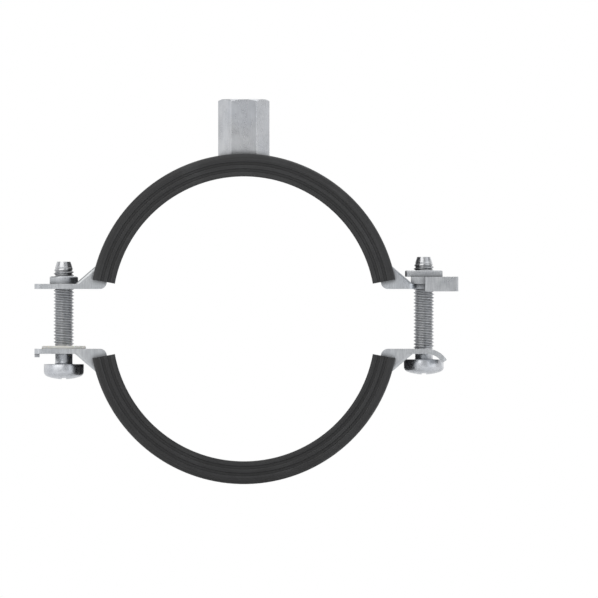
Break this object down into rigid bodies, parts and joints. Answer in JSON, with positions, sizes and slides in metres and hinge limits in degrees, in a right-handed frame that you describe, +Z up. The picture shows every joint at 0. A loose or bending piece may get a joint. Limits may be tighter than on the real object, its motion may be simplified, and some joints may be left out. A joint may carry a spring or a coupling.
{
  "type": "rubber lined pipe clamp",
  "caption": "Split steel pipe clamp with a rubber lining, tightened by two screws between its ears and hung from a threaded hexagonal nut on its crown.",
  "frame": {"origin": "centre of the pipe seat of the upper half, in the middle of the band's width", "axes": "+Z up through the threaded nut, Y along the pipe, X across from ear to ear, the lock plate on +X"},
  "size_m": [0.1241, 0.024, 0.1128],
  "materials": {
    "band_steel": "zinc plated strip, satin",
    "nut_steel": "zinc plated, turned",
    "screw_steel": "zinc plated, bright",
    "lock_steel": "zinc plated pressing",
    "lining_rubber": "matt extruded rubber",
    "washer_plastic": "natural nylon"
  },
  "bodies": {
    "upper_half": {"upper_band": "band_steel", "upper_rubber_lining": "lining_rubber", "threaded_boss": "nut_steel", "lock_plate": "lock_steel", "square_nut": "nut_steel"},
    "lower_half": {"lower_band": "band_steel", "lower_rubber_lining": "lining_rubber", "retaining_washer": "washer_plastic"},
    "left_screw_body": {"left_screw": "screw_steel"},
    "right_screw_body": {"right_screw": "screw_steel"}
  },
  "joints": [
    {"name": "lower_half_travel", "type": "slide", "parent": "upper_half", "child": "lower_half", "axis": [0, 0, 1], "range_m": [-0.002, 0.0066]},
    {"name": "left_screw_turn", "type": "hinge", "parent": "lower_half", "child": "left_screw_body", "pos_m": [-0.0527, 0, 0], "axis": [0, 0, 1], "range_deg": [-720.1, 2376.1]},
    {"name": "right_screw_turn", "type": "hinge", "parent": "lower_half", "child": "right_screw_body", "pos_m": [0.0527, 0, 0], "axis": [0, 0, 1], "range_deg": [-720.1, 2376.1]}
  ],
  "couplings": [
    {"joint": "left_screw_turn", "follows": "lower_half_travel", "rad_per_m": 6283.2},
    {"joint": "right_screw_turn", "follows": "lower_half_travel", "rad_per_m": 6283.2}
  ]
}
